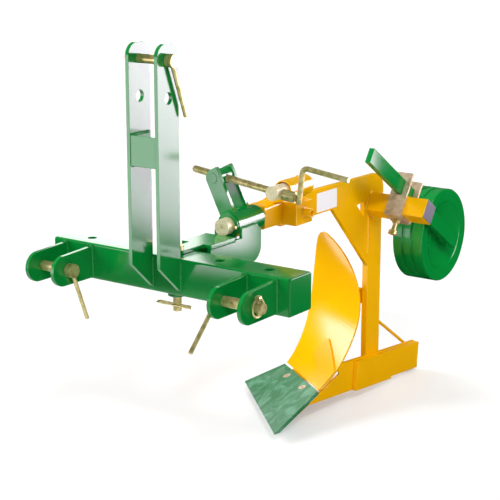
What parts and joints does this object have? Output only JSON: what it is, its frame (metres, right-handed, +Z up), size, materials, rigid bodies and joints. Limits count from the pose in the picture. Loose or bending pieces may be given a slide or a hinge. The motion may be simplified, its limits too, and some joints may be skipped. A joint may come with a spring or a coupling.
{
  "type": "single furrow plough",
  "caption": "Mounted single-furrow plough with a pinned hitch mast, swinging and tilting beam, share and mouldboard bottom and a steel depth wheel.",
  "frame": {"origin": "midway between the two lower link pins, on their axis", "axes": "+X to the tractor's left, which is the landside of the plough; +Y to the rear; +Z up"},
  "size_m": [0.63, 1.376, 0.9775],
  "materials": {
    "green_paint": "gloss",
    "yellow_paint": "gloss",
    "zinc_plate": "yellow passivated zinc",
    "dark_steel": "oiled steel",
    "grey_plug": "satin"
  },
  "bodies": {
    "headstock": {"cross_bar": "green_paint", "bar_end_plates": "green_paint", "mast_plate_left": "green_paint", "mast_plate_right": "green_paint", "mast_spacer": "green_paint", "lower_lugs_left": "green_paint", "lower_lugs_right": "green_paint"},
    "top_pin": {"top_link_pin": "zinc_plate", "top_linch_pin": "zinc_plate"},
    "left_pin": {"lower_pin_left": "zinc_plate", "linch_pin_left": "zinc_plate"},
    "right_pin": {"lower_pin_right": "zinc_plate", "linch_pin_right": "zinc_plate"},
    "top_ring": {"top_linch_ring": "zinc_plate"},
    "left_ring": {"linch_ring_left": "zinc_plate"},
    "right_ring": {"linch_ring_right": "zinc_plate"},
    "pivot_pin": {"pivot_pin": "zinc_plate"},
    "pivot_clip": {"pivot_clip": "zinc_plate"},
    "swing": {"swing_upper_plate": "green_paint", "swing_lower_plate": "green_paint", "swing_side_plates": "green_paint", "shaft_sleeve": "green_paint", "screw_ears": "green_paint"},
    "nut": {"trunnion_nut": "zinc_plate"},
    "beam": {"beam_shaft": "zinc_plate", "shaft_cross_pin": "zinc_plate", "shaft_washers": "dark_steel", "beam_head_tube": "yellow_paint", "trunnion_tube": "yellow_paint", "trunnion_arm": "yellow_paint", "coulter_socket": "yellow_paint", "socket_boss": "yellow_paint", "beam_plate": "yellow_paint", "leg": "yellow_paint", "landside_plate": "yellow_paint", "landside_wear_bar": "yellow_paint", "frog_plate": "yellow_paint", "share": "green_paint", "share_bolts": "zinc_plate", "mouldboard": "yellow_paint", "mouldboard_shin": "yellow_paint", "mouldboard_stay": "yellow_paint", "brace_rod": "yellow_paint", "rear_cross_bar": "yellow_paint", "rear_bar_plug": "grey_plug"},
    "trunnion": {"trunnion_pin": "zinc_plate"},
    "screw": {"adjusting_screw": "zinc_plate", "crank_collar": "zinc_plate", "crank_handle": "zinc_plate"},
    "clamp": {"clamp_bracket": "zinc_plate"},
    "clamp_bolt": {"clamp_bolt": "zinc_plate"},
    "arm": {"wheel_arm": "green_paint", "wheel_axle": "zinc_plate", "wheel_washer": "zinc_plate", "wheel_split_pin": "zinc_plate"},
    "wheel": {"wheel_rim": "green_paint", "wheel_discs": "green_paint", "wheel_hub": "green_paint"}
  },
  "joints": [
    {"name": "top_pin_turn", "type": "hinge", "parent": "headstock", "child": "top_pin", "pos_m": [0, 0.0445, 0.459], "axis": [1, 0, 0], "continuous": true},
    {"name": "left_pin_turn", "type": "hinge", "parent": "headstock", "child": "left_pin", "pos_m": [0.2435, 0, 0], "axis": [1, 0, 0], "range_deg": [-120, 95]},
    {"name": "right_pin_turn", "type": "hinge", "parent": "headstock", "child": "right_pin", "pos_m": [-0.2435, 0, 0], "axis": [1, 0, 0], "range_deg": [-140, 30]},
    {"name": "top_ring_flip", "type": "hinge", "parent": "top_pin", "child": "top_ring", "pos_m": [-0.0505, 0.0445, 0.478], "axis": [0, 1, 0], "range_deg": [0, 150]},
    {"name": "left_ring_flip", "type": "hinge", "parent": "left_pin", "child": "left_ring", "pos_m": [0.2935, 0, 0.019], "axis": [0, -1, 0], "range_deg": [0, 150]},
    {"name": "right_ring_flip", "type": "hinge", "parent": "right_pin", "child": "right_ring", "pos_m": [-0.2935, 0, 0.019], "axis": [0, 1, 0], "range_deg": [0, 150]},
    {"name": "pivot_pin_turn", "type": "hinge", "parent": "headstock", "child": "pivot_pin", "pos_m": [0, 0.118, 0], "axis": [0, 0, 1], "continuous": true},
    {"name": "pivot_clip_slide", "type": "slide", "parent": "pivot_pin", "child": "pivot_clip", "axis": [-1, 0, 0], "range_m": [0, 0.055]},
    {"name": "beam_swing", "type": "hinge", "parent": "headstock", "child": "swing", "pos_m": [0, 0.118, 0], "axis": [0, 0, 1], "range_deg": [-20, 20]},
    {"name": "beam_tilt", "type": "hinge", "parent": "swing", "child": "beam", "pos_m": [0, 0.4, 0.068], "axis": [0, 1, 0], "range_deg": [-10, 10]},
    {"name": "nut_turn", "type": "hinge", "parent": "swing", "child": "nut", "pos_m": [-0.05, 0.344, 0.167], "axis": [0, 1, 0], "range_deg": [-7, 7]},
    {"name": "trunnion_turn", "type": "hinge", "parent": "beam", "child": "trunnion", "pos_m": [0.101, 0.4, 0.148], "axis": [0, 1, 0], "range_deg": [-5, 5]},
    {"name": "screw_turn", "type": "hinge", "parent": "trunnion", "child": "screw", "pos_m": [0.101, 0.344, 0.148], "axis": [0.9922, 0, -0.1248], "range_deg": [-1450, 1450]},
    {"name": "clamp_slide", "type": "slide", "parent": "beam", "child": "clamp", "axis": [1, 0, 0], "range_m": [-0.05, 0.05]},
    {"name": "clamp_bolt_turn", "type": "hinge", "parent": "clamp", "child": "clamp_bolt", "pos_m": [0.104, 0.893, 0.015], "axis": [0, 0.5534, 0.8329], "continuous": true},
    {"name": "arm_slide", "type": "slide", "parent": "clamp", "child": "arm", "axis": [0, 0.8329, -0.5534], "range_m": [-0.085, 0.15]},
    {"name": "wheel_spin", "type": "hinge", "parent": "arm", "child": "wheel", "pos_m": [0.0604, 1.15945, -0.108], "axis": [1, 0, 0], "continuous": true}
  ],
  "couplings": [
    {"joint": "nut_turn", "follows": "beam_tilt", "ratio": 0.593},
    {"joint": "trunnion_turn", "follows": "beam_tilt", "ratio": -0.407},
    {"joint": "screw_turn", "follows": "beam_tilt", "ratio": 144.6}
  ]
}
